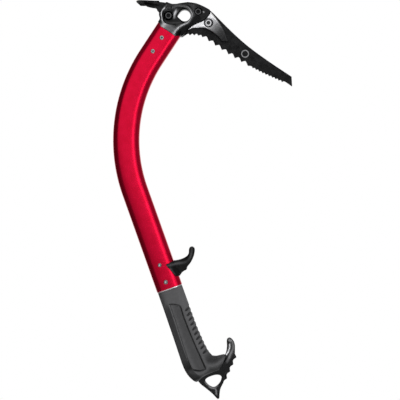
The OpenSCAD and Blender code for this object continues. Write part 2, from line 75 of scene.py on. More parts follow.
# Ribs on the grip's front: first rib's height below the shaft, pitch and count, reach back and rise
RIB_START = -28.7
RIB_PITCH = 6.4
RIB_COUNT = 10
RIB_REACH = 6.0
RIB_RISE = -2.8

# Level set grid, in cells: half width of the band of exact distances, and empty cells round it
BAND = 7
MARGIN = 6


def middle(node):
    """Centre of a node's box in the tool's plane, as (x, z) in millimetres."""
    low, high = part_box(node)
    centre = (low + high) / (2 * MM)
    return np.array([centre.x, centre.z])


def unit(vector):
    return vector / np.hypot(*vector)


def front_of(up):
    """The direction towards the pick's side, square to an up direction."""
    return np.array([up[1], -up[0]])


UP_TOP = unit(middle("head_rivet_upper") - middle("head_rivet_lower"))
UP_LOW = unit(middle("trigger_pin") - middle("handle_rivet"))
FRONT_TOP = front_of(UP_TOP)
FRONT_LOW = front_of(UP_LOW)
SHAFT_TOP = middle("head_rivet_upper") + HEAD_RIVET_DROP * UP_TOP + RIVET_BACK * FRONT_TOP
SHAFT_END = middle("handle_rivet") - HANDLE_RIVET_RISE * UP_LOW + RIVET_BACK * FRONT_LOW
REAR_BOLT = middle("adze_bolt")
FRONT_BOLT = middle("pick_bolt")
WEIGHT_SCREW = middle("weight_screw")


def in_frame(x, z, origin, front, up):
    """Coordinates (v towards the front, u up) of points in a frame of the tool's plane."""
    dx, dz = x - origin[0], z - origin[1]
    return dx * front[0] + dz * front[1], dx * up[0] + dz * up[1]


def in_top_frame(x, z):
    return in_frame(x, z, SHAFT_TOP, FRONT_TOP, UP_TOP)


def in_low_frame(x, z):
    return in_frame(x, z, SHAFT_END, FRONT_LOW, UP_LOW)


def handle_path(*points):
    """Points (v, u) from the shaft's lower end as a smooth curve of (x, z)."""
    return smooth_curve([SHAFT_END + v * FRONT_LOW + u * UP_LOW for v, u in points])


# Plane curves


def smooth_curve(points, steps=6):
    """A smooth curve through points, as more points."""
    p = np.array(points, float)
    p = np.vstack([2 * p[0] - p[1], p, 2 * p[-1] - p[-2]])
    out = []
    for a, b, c, d in zip(p[:-3], p[1:-2], p[2:-1], p[3:]):
        for t in np.arange(steps) / steps:
            cubic = 3 * (b - c) + d - a
            square = 2 * a - 5 * b + 4 * c - d
            out.append(b + 0.5 * t * (c - a + t * (square + t * cubic)))
    out.append(p[-2])
    return np.array(out)


def segment_distance(x, z, start, end):
    """Distance in the tool's plane from points to a segment."""
    along = np.subtract(end, start)
    t = ((x - start[0]) * along[0] + (z - start[1]) * along[1]) / along.dot(along)
    t = np.clip(t, 0, 1)
    return np.hypot(x - start[0] - t * along[0], z - start[1] - t * along[1])


def path_distance(x, z, points):
    """Distance in the tool's plane from points to an open path."""
    pairs = zip(points[:-1], points[1:])
    return np.minimum.reduce([segment_distance(x, z, a, b) for a, b in pairs])


# Fields


def smooth_max(a, b, blend):
    """The larger of two fields, with their meeting line rounded over a width."""
    h = np.clip(0.5 + 0.5 * (a - b) / blend, 0, 1)
    return b + (a - b) * h + blend * h * (1 - h)


def smooth_min(a, b, blend):
    return -smooth_max(-a, -b, blend)


def ramp(value, low, high):
    """0 below low, 1 above high, smooth between."""
    t = np.clip((value - low) / (high - low), 0, 1)
    return t * t * (3 - 2 * t)


def bell(distance, width):
    """1 on a line, falling to 0 over a width on either side."""
    return np.exp(-((distance / width) ** 2))


class Solid:
    """A node's solid as signed distances in millimetres on a grid, negative inside."""

    def __init__(self, node, step, edge, corner):
        """edge rounds the outer edges and corner fills the inner ones, in millimetres."""
        self.node = node
        self.step = step
        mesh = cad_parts[node].data
        mesh.calc_loop_triangles()
        corners = np.empty(3 * len(mesh.vertices), np.float32)
        mesh.vertices.foreach_get("co", corners)
        triangles = np.empty(3 * len(mesh.loop_triangles), np.int32)
        mesh.loop_triangles.foreach_get("vertices", triangles)
        grid = self.level_set(corners.reshape(-1, 3) / MM, triangles=triangles.reshape(-1, 3))
        for offset in (corner, -corner - edge, edge):
            if offset:
                points, quads = grid.convertToQuads(offset)
                grid = self.level_set(points, quads=quads)
        self.open(grid)

    def level_set(self, corners, **faces):
        return openvdb.FloatGrid.createLevelSetFromPolygons(
            np.ascontiguousarray(corners, np.float32),
            transform=openvdb.createLinearTransform(voxelSize=self.step),
            halfWidth=BAND,
            **faces,
        )

    def open(self, grid):
        """Copies the grid to an array, with its coordinates."""
        low, high = (np.array(c) for c in grid.evalActiveVoxelBoundingBox())
        low, high = low - MARGIN, high + MARGIN
        self.low = tuple(int(i) for i in low)
        self.outside = grid.background
        self.values = np.empty(high - low + 1, np.float32)
        grid.copyToArray(self.values, ijk=self.low)
        axes = [(low[i] + np.arange(n)) * self.step for i, n in enumerate(self.values.shape)]
        self.x = axes[0][:, None, None]
        self.y = axes[1][None, :, None]
        self.z = axes[2][None, None, :]
        self.side = np.abs(self.y)

    def slice_at(self, y):
        """The field on one plane square to Y, for use over the whole width."""
        return self.values[:, [round(y / self.step) - self.low[1]], :]

    def near(self, points):
        return path_distance(self.x, self.z, points)

    def cut(self, other, blend):
        """Takes away where the other field is negative."""
        self.values = smooth_max(self.values, -other, blend)

    def add(self, other, blend):
        self.values = smooth_min(self.values, other, blend)

    def groove(self, outline, depth):
        """Cuts to a depth below the present surface where a plane field is negative."""
        self.cut(np.maximum(outline, -(self.values + depth)), 0.5)

    def piece(self, name, material, slot, tone=None):
        """Makes the object that stands for the node; tone gives a point's brightness, painted light and
        shade included.
        """
        grid = openvdb.FloatGrid(self.outside)
        grid.transform = openvdb.createLinearTransform(voxelSize=self.step)
        values = np.clip(self.values, -self.outside, self.outside).astype(np.float32)
        grid.copyFromArray(np.ascontiguousarray(values), ijk=self.low)
        points, quads = grid.convertToQuads(0.0)
        points, quads = points.astype(float), quads.astype(int)
        a, b, c, d = (points[quads[:, i]] for i in range(4))
        volume = np.sum(a * np.cross(b, c)) + np.sum(a * np.cross(c, d))
        if volume < 0:
            quads = quads[:, ::-1]
        dressed(name, points, quads.tolist(), material, "tool", self.node, tone)


def dressed(name, points, faces, material, body, node, tone=None):
    """Makes a smooth mesh object, from points in millimetres, that stands for a CAD node."""
    mesh = bpy.data.meshes.new(name)
    mesh.from_pydata((points * MM).tolist(), [], faces)
    mesh.shade_smooth()
    mesh.materials.append(material)
    if tone:
        levels = mesh.attributes.new("tone", "FLOAT", "POINT")
        levels.data.foreach_set("value", tone(*points.T).astype(np.float32))
    piece = bpy.data.objects.new(name, mesh)
    bpy.context.scene.collection.objects.link(piece)
    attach(piece, body)
    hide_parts(node)
    return piece


# Materials


class Nodes:
    """Short calls for building a node tree."""

    def __init__(self, tree):
        self.tree = tree

    def link(self, source, target):
        self.tree.links.new(source, target)

    def fill(self, sockets, values):
        for socket_shade, value in zip(sockets, values):
            if isinstance(value, bpy.types.NodeSocket):
                self.link(value, socket_shade)
            elif value is not None:
                socket_shade.default_value = value

    def add(self, kind, **inputs):
        made = self.tree.nodes.new(kind)
        self.fill([made.inputs[key] for key in inputs], inputs.values())
        return made

    def math(self, operation, *values):
        made = self.tree.nodes.new("ShaderNodeMath")
        made.operation = operation
        self.fill(made.inputs, values)
        return made.outputs["Value"]

    def vector_math(self, operation, first, second):
        made = self.tree.nodes.new("ShaderNodeVectorMath")
        made.operation = operation
        self.fill(made.inputs, (first, second))
        return made.outputs["Value"]

    def range(self, value, low, high, start, end, smooth=False):
        made = self.tree.nodes.new("ShaderNodeMapRange")
        made.interpolation_type = "SMOOTHSTEP" if smooth else "LINEAR"
        self.fill(made.inputs, (value, low, high, start, end))
        return made.outputs["Result"]

    def mix(self, factor, first, second, blend="MIX"):
        made = self.tree.nodes.new("ShaderNodeMix")
        made.data_type = "RGBA"
        made.blend_type = blend
        colours = [(*c, 1.0) if isinstance(c, tuple) else c for c in (first, second)]
        self.fill([made.inputs[0], made.inputs[6], made.inputs[7]], (factor, *colours))
        return made.outputs[2]

    def blend(self, factor, first, second):
        made = self.tree.nodes.new("ShaderNodeMixShader")
        self.fill(made.inputs, (factor, first, second))
        return made.outputs["Shader"]

    def rays(self):
        """Two switches: 1 for rays from the camera, and 1 for rays from mirrors and clear things."""
        path = self.add("ShaderNodeLightPath").outputs
        mirror = self.math("MAXIMUM", path["Is Glossy Ray"], path["Is Transmission Ray"])
        return path["Is Camera Ray"], mirror


def grey(level):
    return (level, level, level * 1.03)


class Finish(Nodes):
    """One procedural material: two tones in patches, with gloss and relief from a fine grain."""

    def __init__(self, name, tones, roughness, patch, grain, relief, metallic=0.0, specular=0.5):
        """patch and grain are sizes in millimetres, relief is the grain's height in millimetres."""
        self.material = bpy.data.materials.new(name)
        self.material.use_nodes = True
        super().__init__(self.material.node_tree)
        self.shader = self.tree.nodes["Principled BSDF"]
        self.shader.inputs["Metallic"].default_value = metallic
        self.shader.inputs["Specular IOR Level"].default_value = specular
        self.place = self.add("ShaderNodeTexCoord").outputs["Object"]
        patches = self.noise(patch, 3.0)
        self.colour = self.mix(self.range(patches, 0.35, 0.65, 0, 1), *tones)
        fine = self.noise(grain, 4.0)
        self.link(self.range(fine, 0.3, 0.7, *roughness), self.shader.inputs["Roughness"])
        bump = self.add("ShaderNodeBump", Height=fine, Distance=relief * MM, Strength=1.0)
        self.link(bump.outputs["Normal"], self.shader.inputs["Normal"])

    def noise(self, size, detail):
        made = self.add("ShaderNodeTexNoise", Vector=self.place, Scale=1 / (size * MM), Detail=detail)
        return made.outputs["Fac"]

    def toned(self):
        """Multiplies the colour by the mesh's own brightness values, which carry painted light and shade.
        """
        levels = self.add("ShaderNodeAttribute")
        levels.attribute_name = "tone"
        self.colour = self.mix(1.0, self.colour, levels.outputs["Fac"], "MULTIPLY")
        return self

    def away_from(self, centre):
        """Distance from an axis along Y through a point (x, z) in millimetres."""
        flat = self.add("ShaderNodeMapping", Vector=self.place, Scale=(1, 0, 1)).outputs["Vector"]
        return self.vector_math("DISTANCE", flat, (centre[0] * MM, 0, centre[1] * MM))

    def ring(self, centre, radius, stroke, tone):
        """Paints a plain ring round an axis along Y; sizes in millimetres."""
        off = self.math("ABSOLUTE", self.math("SUBTRACT", self.away_from(centre), radius * MM))
        inside = self.range(off, 0.4 * stroke * MM, 0.6 * stroke * MM, 1, 0)
        self.colour = self.mix(inside, self.colour, tone)
        return self

    def disc(self, centre, radius, tone):
        """Paints a disc round an axis along Y; sizes in millimetres."""
        inside = self.range(self.away_from(centre), radius * MM, 1.08 * radius * MM, 1, 0)
        self.colour = self.mix(inside, self.colour, tone)
        return self

    def done(self):
        self.link(self.colour, self.shader.inputs["Base Color"])
        return self.material


def metal(name, low, high, roughness, patch, grain, relief, glance=1.0):
    """A metal; glance below 1 keeps it dark where it is seen at a flat angle."""
    made = Finish(name, (grey(low), grey(high)), roughness, patch, grain, relief, metallic=1.0)
    made.shader.inputs["Specular Tint"].default_value = (glance, glance, glance, 1)
    return made


def shaft_finish():
    """Red anodising under a thin clear seal."""
    red = Finish(
        "red_anodised", ((0.68, 0.003, 0.034), (0.75, 0.004, 0.042)), (0.2, 0.26), patch=9, grain=0.25,
        relief=0.003, metallic=1.0,
    )
    red.shader.inputs["Coat Weight"].default_value = 0.08
    red.shader.inputs["Coat Roughness"].default_value = 0.16
    return red


def make_finishes():
    """Every finish on the tool, by a plain name."""
    # Painted shade: a dark disc that stands for the shade in the bolts' sockets
    socket_shade = grey(0.012)
    made = dict(
        shaft=shaft_finish(),
        bare=metal("bare_alloy", 0.72, 0.86, (0.18, 0.3), patch=3, grain=0.2, relief=0.004),
        head=metal("forged_alloy", 0.85, 1.0, (0.3, 0.42), patch=4, grain=0.35, relief=0.015).toned(),
        pick=metal("black_steel", 0.014, 0.024, (0.36, 0.5), patch=6, grain=0.5, relief=0.015, glance=0.3)
        .ring((75.9, -47.9), 4.3, 1.2, grey(0.3)),
        adze=metal("adze_steel", 0.018, 0.032, (0.34, 0.5), patch=6, grain=0.5, relief=0.015,
                   glance=0.25),
        weight=metal("blasted_steel", 0.86, 1.0, (0.3, 0.42), patch=2.5, grain=0.22, relief=0.015).toned(),
        # The bolts get a painted highlight ring round each head and a disc of painted shade in each socket
        bolt=metal("bolt_black", 0.03, 0.045, (0.25, 0.38), patch=2, grain=0.2, relief=0.006, glance=0.3)
        .ring(REAR_BOLT, 3.3, 1.0, grey(0.1)).ring(FRONT_BOLT, 3.3, 1.0, grey(0.1))
        .disc(REAR_BOLT, 2.35, socket_shade).disc(FRONT_BOLT, 2.35, socket_shade),
        # The screw gets a dark disc of painted shade in its socket
        screw=metal("screw_zinc", 0.6, 0.72, (0.22, 0.34), patch=2, grain=0.2, relief=0.006)
        .disc(WEIGHT_SCREW, 2.35, grey(0.05)),
        nut=metal("nut_zinc", 0.26, 0.34, (0.3, 0.42), patch=2, grain=0.2, relief=0.008),
        rivet=metal("rivet_bright", 0.85, 1.0, (0.2, 0.32), patch=1.5, grain=0.2, relief=0.005).toned(),
        trigger=Finish("moulded_black", (grey(0.8), grey(1.0)), (0.26, 0.36), patch=5, grain=0.4,
                       relief=0.008, specular=0.14).toned(),
        core=metal("forged_black", 0.85, 1.0, (0.26, 0.36), patch=4, grain=0.4, relief=0.006,
                   glance=0.35).toned(),
        grip=Finish("rubber_grey", (grey(0.92), grey(1.0)), (0.55, 0.7), patch=6, grain=0.5, relief=0.025,
                    specular=0.2).toned(),
        panel=Finish("rubber_panel", (grey(0.88), grey(1.0)), (0.6, 0.75), patch=5, grain=0.7, relief=0.05,
                     specular=0.15).toned(),
    )
    return {name: finish.done() for name, finish in made.items()}


# Pieces


def shaft_section(inset, sides=72):
    """The tube's full-bodied oval section as (depth, width) points, drawn in by an inset."""
    turn = 2 * np.pi * np.arange(sides) / sides
    corner = np.column_stack([np.cos(turn), np.sin(turn)])
    shape = np.sign(corner) * np.abs(corner) ** (2 / SHAFT_POWER)
    return shape * (SHAFT_DEPTH / 2 + SHAFT_SWELL - inset, SHAFT_WIDTH / 2 - inset)


def shaft_offset(v, side):
    """About how far points lie outside the shaft's oval section."""
    oval = (np.abs(v) / (SHAFT_DEPTH / 2 + SHAFT_SWELL)) ** SHAFT_POWER
    oval = oval + (side * 2 / SHAFT_WIDTH) ** SHAFT_POWER
    return (oval ** (1 / SHAFT_POWER) - 1) * SHAFT_WIDTH / 2


def shaft_centreline(step=4.0):
    """Points and up directions from the shaft's lower end to its top."""
    start = SHAFT_TOP - STRAIGHT_TOP * UP_TOP
    end = SHAFT_END + STRAIGHT_BOTTOM * UP_LOW
    turn = math.acos(UP_TOP.dot(UP_LOW))
    radius = np.hypot(*(start - end)) / (2 * math.sin(turn / 2))
    centre = end + radius * FRONT_LOW
    lower = np.linspace(0, STRAIGHT_BOTTOM, round(STRAIGHT_BOTTOM / step))
    upper = np.linspace(0, STRAIGHT_TOP, round(STRAIGHT_TOP / step))
    line = [(SHAFT_END + along * UP_LOW, UP_LOW) for along in lower[:-1]]
    pieces = math.ceil(radius * turn / step)
    for k in range(pieces + 1):
        angle = turn * k / pieces
        out = -math.cos(angle) * FRONT_LOW + math.sin(angle) * UP_LOW
        up = math.sin(angle) * FRONT_LOW + math.cos(angle) * UP_LOW
        line.append((centre + radius * out, up))
    return line + [(start + along * UP_TOP, UP_TOP) for along in upper[1:]]


def tube_faces(rings, count):
    """Quads between rings of points that close on themselves both ways."""
    faces = []
    for ring in range(rings):
        after = (ring + 1) % rings
        for k in range(count):
            n = (k + 1) % count
            faces.append((ring * count + k, ring * count + n, after * count + n, after * count + k))
    return faces


def apron(v):
    """How far the head's neck reaches down on the shaft, in full only on its broad faces."""
    return APRON_REACH * (1 - ramp(np.abs(v), 11, 15.5))


def make_shaft(finishes):
    """The bent tube, with a bare turned band at its lower end and its top end cut back for the neck."""
    band, step_in, chamfer, close = 1.1, 0.25, 0.4, 0.2
    line = shaft_centreline()
    low, high = line[0][0], line[-1][0]
    bare = [(0, SHAFT_WALL), (0, step_in), (close, step_in), (band - close, step_in), (band, step_in)]
    ends = bare + [(band, 0), (band + close, 0)]
    tops = [(chamfer + close, 0), (chamfer, 0), (0, chamfer), (0, SHAFT_WALL)]
    rings = [(low + along * UP_LOW, UP_LOW, inset, 0) for along, inset in ends]
    rings += [(point, up, 0, 0) for point, up in line[1:-1]]
    rings += [(high - down * UP_TOP, UP_TOP, inset, 1) for down, inset in tops]
    rings += [(point, up, SHAFT_WALL, 0) for point, up in reversed(line[1:-1])]
    points = []
    for point, up, inset, cut_back in rings:
        section = shaft_section(inset)
        depth = section[:, :1]
        plane = point + depth * front_of(up) - cut_back * apron(depth) * up
        points.append(np.column_stack([plane[:, 0], section[:, 1], plane[:, 1]]))
    count = len(points[0])
    faces = tube_faces(len(rings), count)
    points = np.vstack(points)
    piece = dressed("shaft_tube", points, faces, finishes["shaft"], "tool", "shaft")
    piece.data.materials.append(finishes["bare"])
    for face in piece.data.polygons[:len(bare) * count]:
        face.material_index = 1


# Head: upper outline, rear spine, painted highlight on the web, raised rims by the basin, painted shade on
# the jaw, basin and a painted glint
HEAD_TOP = np.array([
    (-20, 20), (-16, 16), (-11, 14.2), (-6, 15.05), (-1, 15.7), (4, 16.3), (9, 15.7), (14, 14.9),
    (19, 13.1), (24, 10.9), (29, 8.2), (34, 5.4),
])
SPINE = smooth_curve([(-30.9, 4.5), (-31.2, 1.2), (-30.2, -3.2), (-30.8, -5.7), (-32.2, -8)])
WEB_HIGHLIGHT_LINE = smooth_curve([(-10.7, 5.7), (-11.2, 4.6), (-12.1, 3), (-12.9, 1.2), (-13.3, -0.6), (-13.4, -3.1)])
RIGHT_RIM = smooth_curve([
    (-15.5, 9.8), (-9, 10.6), (-3, 10.8), (1.5, 10.2), (5, 8.4), (7.3, 5.6), (8.8, 2.6), (9.1, 0.2),
    (8.7, -2.4), (7.6, -4.8), (6, -7.2), (4, -9.2), (1.2, -10.7), (-3.8, -13.1), (-7.7, -15.9),
    (-11, -19.7), (-13.5, -23.5), (-14.6, -26.2),
])
LEFT_RIM = smooth_curve([(-25.2, 8.4), (-28.3, 5.8), (-29.4, 2.2), (-29.1, -2.4), (-28.4, -7.6)])
JAW_SHADE_STRIP = smooth_curve([(16, -4.5), (8, -9.5), (0, -15.5), (-7, -23)])
BASIN = (np.array([-20.5, -0.3]), np.array([-0.4, 0.3]))
BASIN_RADIUS = 10.4
BASIN_DEPTH = 2.6
GLINT = (23.7, 3.7)

# Head: where across the tool its cheeks' outline is taken, and sizes of its spine and rims
CHEEK_SLICE = 6.5
SPINE_RADIUS = 1.3
SPINE_HALF = 4.5
RIM_RADIUS = 1.15
RIM_INNER_EDGE = 7.9

# Head's lightness: of its parts with painted shade and highlight, painted light across the neck from back
# to front, painted highlights by height on rims and web
FORGED_TONE = 0.062
NOSE_TONE = 0.024
SPINE_TONE = 0.015
JAW_SHADE_TONE = 0.012
NECK_EDGE_SHADE_TONE = 0.006
HIGHLIGHT_TONE = 0.48
NECK_PAINTED_LIGHT = (
    [-15, -12, -10, -8, -6.5, -5, -2, 4, 9, 12],
    [0.06, 0.3, 0.62, 0.62, 0.42, 0.24, 0.18, 0.16, 0.2, 0.05],
)
RIGHT_RIM_HIGHLIGHT = ([-26, -23, -13, -7, 4, 7, 10], [0.5, 1.2, 1.2, 0.75, 0.9, 0.6, 0.25])
LEFT_RIM_HIGHLIGHT = ([-5, -1], [1.15, 1.6])
WEB_HIGHLIGHT_LEVEL = ([-5, -2, 1, 4, 6], [0.3, 0.7, 1.6, 1.8, 1.3])


def shifted(tone, share, goal):
    """A lightness moved towards a goal by a share of the way."""
    return tone + share * (goal - tone)


def painted_head_highlights(x, z):
    """Share of painted highlight on the head's rims, its web and a small glint."""
    right = np.interp(z, *RIGHT_RIM_HIGHLIGHT) * bell(path_distance(x, z, RIGHT_RIM), 1.25)
    left = np.interp(z, *LEFT_RIM_HIGHLIGHT) * bell(path_distance(x, z, LEFT_RIM), 1.3)
    web = np.interp(z, *WEB_HIGHLIGHT_LEVEL) * bell(path_distance(x, z, WEB_HIGHLIGHT_LINE), 1.3)
    glint = bell(np.hypot(x - GLINT[0], z - GLINT[1]), 0.8)
    return np.maximum.reduce([web, right, left, glint])


def painted_neck_light(v, u):
    """Painted light across the neck, with painted shade towards the basin."""
    return np.interp(v, *NECK_PAINTED_LIGHT) * (1 - 0.8 * ramp(u, 2.5, 8) * ramp(v, -9, -5))


def head_tone(x, y, z):
    """Dark forging with painted shade in the basin, over the hole, on the jaw and neck edge, and painted
    light on neck, rims, web and glint.
    """
    v, u = in_top_frame(x, z)
    basin = segment_distance(x, z, *BASIN)
    # Painted shade in the basin, stronger low down
    shade = np.interp(z, [2, 6], [0.036, 0.012])
    tone = FORGED_TONE - shade * ramp(BASIN_RADIUS - basin, 0, 2.5)
    tone = shifted(tone, np.maximum(ramp(x, 9, 16), ramp(z, 12.5, 14.5)), NOSE_TONE)
    tone = shifted(tone, ramp(-x, 29.5, 30.3) * (1 - ramp(np.abs(y), 4, 5.5)), SPINE_TONE)
    # Painted light and shade across the neck
    tone = shifted(tone, ramp(basin, 10, 11.5) * (1 - ramp(u, 9, 13)), painted_neck_light(v, u))
    # Painted shade along the neck's front edge
    tone = shifted(tone, ramp(v, 12.5, 14) * (1 - ramp(u, 6, 10)), NECK_EDGE_SHADE_TONE)
    # Painted shade on the jaw strip
    strip = ramp(5.2 - path_distance(x, z, JAW_SHADE_STRIP), 0, 1.5) * ramp(basin, 10.4, 11.4)
    tone = shifted(tone, strip, JAW_SHADE_TONE)
    # Painted shadow over the hole
    shadow_over_hole = bell(z - 8.4, 1.2) * ramp(x, -10, -7) * (1 - ramp(x, 1, 4))
    # Painted highlights on the faces' rims, web and glint
    face = ramp(np.abs(y), 4.5, 6.5)
    return shifted(tone * (1 - 0.7 * shadow_over_hole), face * painted_head_highlights(x, z), HIGHLIGHT_TONE)


def widen_cheeks(head, outline):
    """Fills the front cheeks out to a width that falls a little towards the nose."""
    rear_half, nose_half, step_at = 9.0, 8.0, 10.9
    taper = rear_half - (rear_half - nose_half) * ramp(head.x, step_at - 2, step_at + 16)
    cheek = np.maximum(head.side - taper, step_at - 0.5 - head.x)
    head.add(np.maximum(outline, cheek), 1.0)


def scoop_basin(head):
    """Hollows both faces round the rear bolt and the clip hole."""
    basin = segment_distance(head.x, head.z, *BASIN)
    floor = 9.2 - BASIN_DEPTH * ramp(BASIN_RADIUS - basin, 0, 6.0)
    head.cut(np.maximum(basin - BASIN_RADIUS, floor - head.side), 0.8)


def raise_rims(head, limit):
    """Adds rounded rims, with walls under them, within a limit; the right one sinks in at its rear end."""
    sink = 1.6 * ramp(-head.x, 6, 15) * ramp(head.z, 0, 5)
    for rim, height in ((RIGHT_RIM, 8.9 - sink), (LEFT_RIM, 8.3)):
        near = head.near(rim)
        tube = np.hypot(near, head.side - height) - RIM_RADIUS
        wall = np.maximum(near - RIM_RADIUS, np.maximum(head.side - height, 5 - head.side))
        head.add(np.maximum(np.minimum(tube, wall), limit), 1.2)


def make_head(finishes):
    """Forged head: scooped basin round the rear bolt and the clip hole, with raised rims."""
    head = Solid("head", step=0.42, edge=1.3, corner=1.4)
    outline = np.where(head.y < 0, head.slice_at(-CHEEK_SLICE), head.slice_at(CHEEK_SLICE))
    widen_cheeks(head, outline)
    v, u = in_top_frame(head.x, head.z)
    off_shaft = shaft_offset(v, head.side)
    # The foot narrows to the shaft's section, and the top is lowered to its outline
    flare = 60 * ramp(u + 9 * ramp(v, 13, 16.5), 4, 40)
    head.cut(flare - off_shaft, 0.4)
    head.cut(np.interp(head.x, *HEAD_TOP.T) - head.z, 1.0)
    # The spine stands out at the rear, and the neck fills the shaft's section above the tube's end
    head.add(np.maximum(head.near(SPINE) - SPINE_RADIUS, head.side - SPINE_HALF), 0.6)
    neck = np.maximum(off_shaft + 0.05, np.maximum(-u - apron(v), u - 2))
    head.add(neck, 0.3)
    scoop_basin(head)
    # The rims keep clear of the hole and end at the head's outline and the neck
    hole_edge = RIM_INNER_EDGE - np.hypot(head.x, head.z)
    limit = np.where(hole_edge > -3, hole_edge, outline + 0.4)
    raise_rims(head, np.where(u < 1, neck, limit))
    head.piece("head_forging", finishes["head"], "head_alloy", head_tone)


# Weights: outer border, lower edge and its reach, and the fall of the face with the painted reflection
# along it
WEIGHT_BORDER = smooth_curve([(32.6, 4.6), (41.8, -7), (49.8, -19), (55.6, -32.6)])
WEIGHT_EDGE = smooth_curve([(4.6, -18.2), (9, -15.4), (16, -14.5), (24, -14.5), (30, -17.6)])
EDGE_REACH = ([4.6, 9, 16, 23, 29], [0.3, 0.8, 1.1, 1.0, 0.1])
WEIGHT_FALL = unit(np.array([0.72, -0.69]))
WEIGHT_PAINTED_REFLECTION = ([26, 31, 37, 41, 45, 50, 56], [1.0, 0.58, 0.24, 0.14, 0.07, 0.04, 0.03])
WEIGHT_TOP = 7.05
COUNTERBORE_RADIUS = 5.1


def along_fall(x, z):
    """How far points lie along the fall of the weights' faces."""
    return WEIGHT_FALL[0] * x + WEIGHT_FALL[1] * z


def weight_tone(x, y, z):
    """Bright blasting; painted reflection darker towards the pick's point, painted shade in the
    counterbore, painted highlight on the border.
    """
    # Painted reflection, darker along the fall of the face
    tone = np.interp(along_fall(x, z), *WEIGHT_PAINTED_REFLECTION)
    # Painted highlight along the bevelled border
    border = bell(path_distance(x, z, WEIGHT_BORDER) - 0.9, 1.0)
    # Painted shade in the counterbore round the screw
    off_screw = np.hypot(x - WEIGHT_SCREW[0], z - WEIGHT_SCREW[1])
    counterbore = bell(off_screw - COUNTERBORE_RADIUS, 0.6)
    return tone * (1 + 0.9 * border) * (1 - 0.88 * counterbore)


def make_weight(node, finishes):
    """A pick weight with a face that falls away towards the pick's point."""
    weight = Solid(node, step=0.36, edge=0.6, corner=0.3)
    fall = (np.clip(along_fall(weight.x, weight.z) - 28, 0, None) / 30) ** 2
    border = np.clip(1.7 - weight.near(WEIGHT_BORDER), 0, 2)
    top = WEIGHT_TOP - 1.2 * fall - 0.6 * border
    edge = weight.near(WEIGHT_EDGE) - np.interp(weight.x, *EDGE_REACH)
    weight.add(np.maximum(edge, np.abs(weight.side - 4.55) - 2.3), 0.6)
    weight.cut(top - weight.side, 0.4)
    name = node.replace("weight", "pick_weight")
    weight.piece(name, finishes["weight"], "weight_steel", weight_tone)


# Finger rest: ridge along its hook, painted highlight along that ridge, and the lower slope of its saddle
HOOK_RIDGE = handle_path((4, 29), (20, 27.4), (29.4, 25.6), (36.5, 28.4), (41.2, 34.5), (43.8, 41.5))
RIDGE_HIGHLIGHT = ([5, 10, 20, 26, 33, 38, 41, 45], [0.5, 0.7, 1, 0.7, 0.25, 0.8, 0.6, 0.3])
SADDLE_SLOPE = handle_path((9.2, 23.5), (9.8, 20), (11.2, 15.5))
TRIGGER_TONE = 0.004
SADDLE_HALF = 12.3
SADDLE_WALL = 1.5
HOOK_NARROWING = 5.2


def trigger_tone(x, y, z):
    """Black moulding, with painted highlights along its ridge and on the saddle's slope."""
    forward = in_low_frame(x, z)[0]
    ridge_highlight_share = np.interp(forward, *RIDGE_HIGHLIGHT)
    # Painted highlights along the ridge and on the saddle's slope, on the faces only
    ridge = 0.075 * ridge_highlight_share * bell(path_distance(x, z, HOOK_RIDGE), 1.5)
    slope = 0.06 * bell(path_distance(x, z, SADDLE_SLOPE), 1.5)
    return TRIGGER_TONE + ramp(np.abs(y), 2, 4) * np.maximum(ridge, slope)


def make_trigger(finishes):
    """Finger rest: a saddle that tapers down the shaft, and a hook with a ridge along it."""
    trigger = Solid("trigger", step=0.4, edge=0.5, corner=0.9)
    v, u = in_low_frame(trigger.x, trigger.z)
    # Both faces fall away from the ridge, outside the wall of the saddle on the shaft
    half = SADDLE_HALF - HOOK_NARROWING * ramp(v, 12, 26)
    roof = half - 0.6 * np.clip(trigger.near(HOOK_RIDGE) - 0.8, 0, None)
    trigger.cut(np.maximum(roof - trigger.side, SADDLE_WALL - shaft_offset(v, trigger.side)), 0.8)
    # The saddle's sides end behind at a sloping edge
    back_edge = 5.2 + 0.414 * (31.6 - u)
    trigger.cut(np.maximum(v - back_edge, 8 - trigger.side), 0.4)
    trigger.piece("finger_rest", finishes["trigger"], "trigger_plastic", trigger_tone)


# Pommel: line of the hook's painted highlight, groove and outer flank with its painted highlight, spike's
# ridge, its hole and the hole's low wall
HOOK_HIGHLIGHT_LINE = smooth_curve([(56.3, -413.6), (56.1, -417.2), (55.1, -421), (54, -423.6), (52.4, -426)])
HOOK_GROOVE = smooth_curve([
    (57, -410.5), (57.4, -416), (56.2, -421), (54.6, -424.6), (51, -430), (48, -434),
])
HOOK_FLANK = smooth_curve([
    (56.3, -407.9), (58.8, -409.8), (60.1, -414.7), (59.9, -418.4), (58.7, -422.2), (57.2, -426),
    (55.6, -429.8), (54.2, -433), (53, -434.8),
])
FLANK_HIGHLIGHT = ([-435, -424], [0.1, 0.32])
SPIKE_RIDGE = smooth_curve([
    (31, -466.8), (33, -468.1), (35.5, -468.6), (38, -469), (39.3, -471), (39.5, -473.3), (39.8, -476.4),
])
HOLE_WALL = handle_path((3.2, -125), (5.5, -130.3), (11.4, -135.2), (15.5, -134.4))
SPIKE_HOLE = handle_path(
    (2.4, -122.4), (9, -120.2), (20, -120.8), (25.4, -125), (20.6, -132.4), (11, -136.4), (5, -130.6),
    (2.4, -122.4),
)
SPIKE_HALF = ([-151.2, -126], [2.5, 5.0])
CORE_TONE = 0.026


